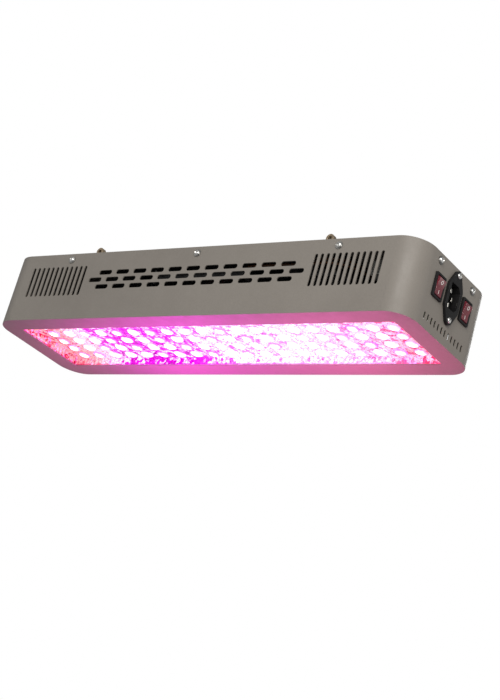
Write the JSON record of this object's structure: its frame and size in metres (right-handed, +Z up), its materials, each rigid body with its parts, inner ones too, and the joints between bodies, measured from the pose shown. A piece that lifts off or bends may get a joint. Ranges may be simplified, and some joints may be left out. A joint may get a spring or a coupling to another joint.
{
  "type": "grow lamp",
  "caption": "Hanging plant grow lamp: long rounded steel box with side vents, downward light panel, top fans, hanging eyes, mains inlet and two rocker switches on one end.",
  "frame": {"origin": "centre of the lamp's footprint, on the plane of its bottom rim", "axes": "+X along the length towards the end with the inlet and switches, -Y towards the front long side, +Z up towards the hanging eyes"},
  "size_m": [0.5075, 0.1374, 0.0864],
  "materials": {
    "casing_paint": "fine textured warm grey powder coat",
    "cover_paint": "fine textured warm grey powder coat",
    "bright_steel": "zinc plated",
    "washer_steel": "zinc plated",
    "reflector": "bright rolled",
    "board_mask": "white solder mask",
    "lens": "clear moulded",
    "emitter": "emissive",
    "sink_aluminium": "extruded, satin",
    "shield_paper": "matt fibre sheet",
    "spacer_brass": "turned",
    "fan_black": "moulded satin",
    "impeller_black": "moulded satin",
    "guard_wire": "plated wire",
    "eye_brass": "yellow zinc",
    "driver_aluminium": "brushed",
    "circuit_green": "solder mask",
    "transformer_tape": "taped",
    "capacitor_sleeve": "sleeved",
    "block_white": "moulded",
    "inlet_black": "moulded satin",
    "pin_nickel": "nickel plated",
    "switch_black": "moulded satin",
    "rocker_red": "translucent red",
    "wire_brown": "sleeved wire",
    "wire_green": "sleeved wire",
    "wire_red": "sleeved wire"
  },
  "bodies": {
    "housing": {"casing": "casing_paint", "top_cover": "cover_paint", "side_screws": "bright_steel", "side_washers": "washer_steel", "reflector_tray": "reflector", "led_board": "board_mask", "led_lenses": "lens", "led_emitters": "emitter", "board_screws": "bright_steel", "heat_sink": "sink_aluminium", "mains_shield": "shield_paper", "spacers": "spacer_brass", "sink_screws": "bright_steel", "fan_frame_left": "fan_black", "fan_frame_right": "fan_black", "fan_guard_left": "guard_wire", "fan_guard_right": "guard_wire", "fan_screws": "bright_steel", "eye_bolts": "eye_brass", "eye_washers": "washer_steel", "eye_nuts": "bright_steel", "driver_cases": "driver_aluminium", "driver_lids": "driver_aluminium", "driver_boards": "circuit_green", "driver_board_screws": "bright_steel", "driver_transformers": "transformer_tape", "driver_capacitors": "capacitor_sleeve", "cover_screws": "bright_steel", "terminal_block": "block_white", "terminal_screws": "bright_steel", "inlet_body": "inlet_black", "inlet_pins": "pin_nickel", "inlet_screws": "bright_steel", "inlet_nuts": "bright_steel", "switch_body_left": "switch_black", "switch_body_right": "switch_black", "switch_tabs": "pin_nickel", "earth_ring": "pin_nickel", "earth_nut": "bright_steel", "mains_wires": "wire_brown", "switched_wires": "wire_brown", "earth_wire": "wire_green", "input_wires": "wire_brown", "output_wires": "wire_red", "fan_leads": "wire_red"},
    "fan_wheel_left": {"impeller_left": "impeller_black"},
    "fan_wheel_right": {"impeller_right": "impeller_black"},
    "rocker_left": {"rocker_left": "rocker_red"},
    "rocker_right": {"rocker_right": "rocker_red"}
  },
  "joints": [
    {"name": "fan_spin_left", "type": "hinge", "parent": "housing", "child": "fan_wheel_left", "pos_m": [-0.11, 0, 0.06], "axis": [0, 0, 1], "continuous": true},
    {"name": "fan_spin_right", "type": "hinge", "parent": "housing", "child": "fan_wheel_right", "pos_m": [0.11, 0, 0.06], "axis": [0, 0, 1], "continuous": true},
    {"name": "rocker_tilt_left", "type": "hinge", "parent": "housing", "child": "rocker_left", "pos_m": [0.248, -0.025, 0.0434], "axis": [0, 1, 0], "range_deg": [-20, 0]},
    {"name": "rocker_tilt_right", "type": "hinge", "parent": "housing", "child": "rocker_right", "pos_m": [0.248, 0.025, 0.0434], "axis": [0, 1, 0], "range_deg": [-20, 0]}
  ]
}
